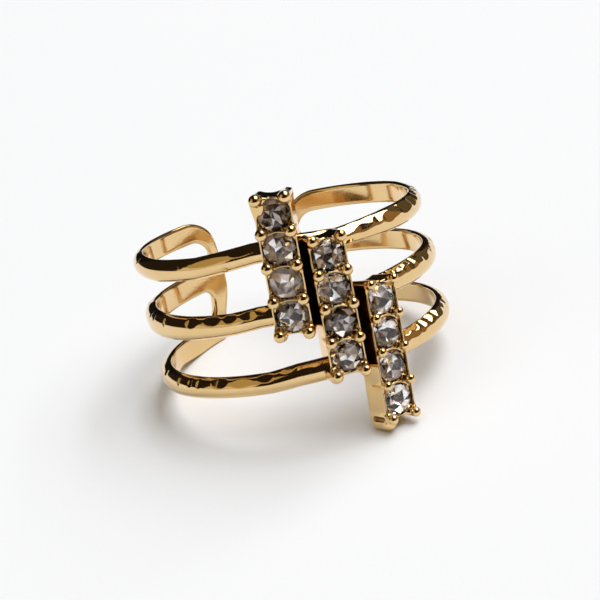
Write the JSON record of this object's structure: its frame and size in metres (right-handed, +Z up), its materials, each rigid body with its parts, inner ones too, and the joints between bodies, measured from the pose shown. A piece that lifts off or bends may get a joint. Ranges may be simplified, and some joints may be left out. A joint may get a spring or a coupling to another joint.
{
  "type": "ring",
  "caption": "Adjustable open finger ring in gold-plated metal: stacked domed bands join at a gap behind, and staggered straight bars of claw-set clear stones cross the front",
  "frame": {"origin": "middle of the finger hole", "axes": "+Z up with the ring lying on its side as it rests; the stone bars face -Y and the opening faces +Y; +X to the right as seen from the front; the finger hole's axis leans 12.25 degrees from +Z toward +Y"},
  "size_m": [0.0188, 0.0222, 0.016],
  "materials": {
    "gold_plate": "polished gold plate, lightly hammered on the domed outside",
    "crystal": "clear cut crystal, faceted"
  },
  "bodies": {
    "root": {"ring_frame": "gold_plate", "stone_1_1": "crystal", "stone_1_2": "crystal", "stone_1_3": "crystal", "stone_1_4": "crystal", "stone_2_1": "crystal", "stone_2_2": "crystal", "stone_2_3": "crystal", "stone_2_4": "crystal", "stone_3_1": "crystal", "stone_3_2": "crystal", "stone_3_3": "crystal", "stone_3_4": "crystal"}
  },
  "joints": []
}
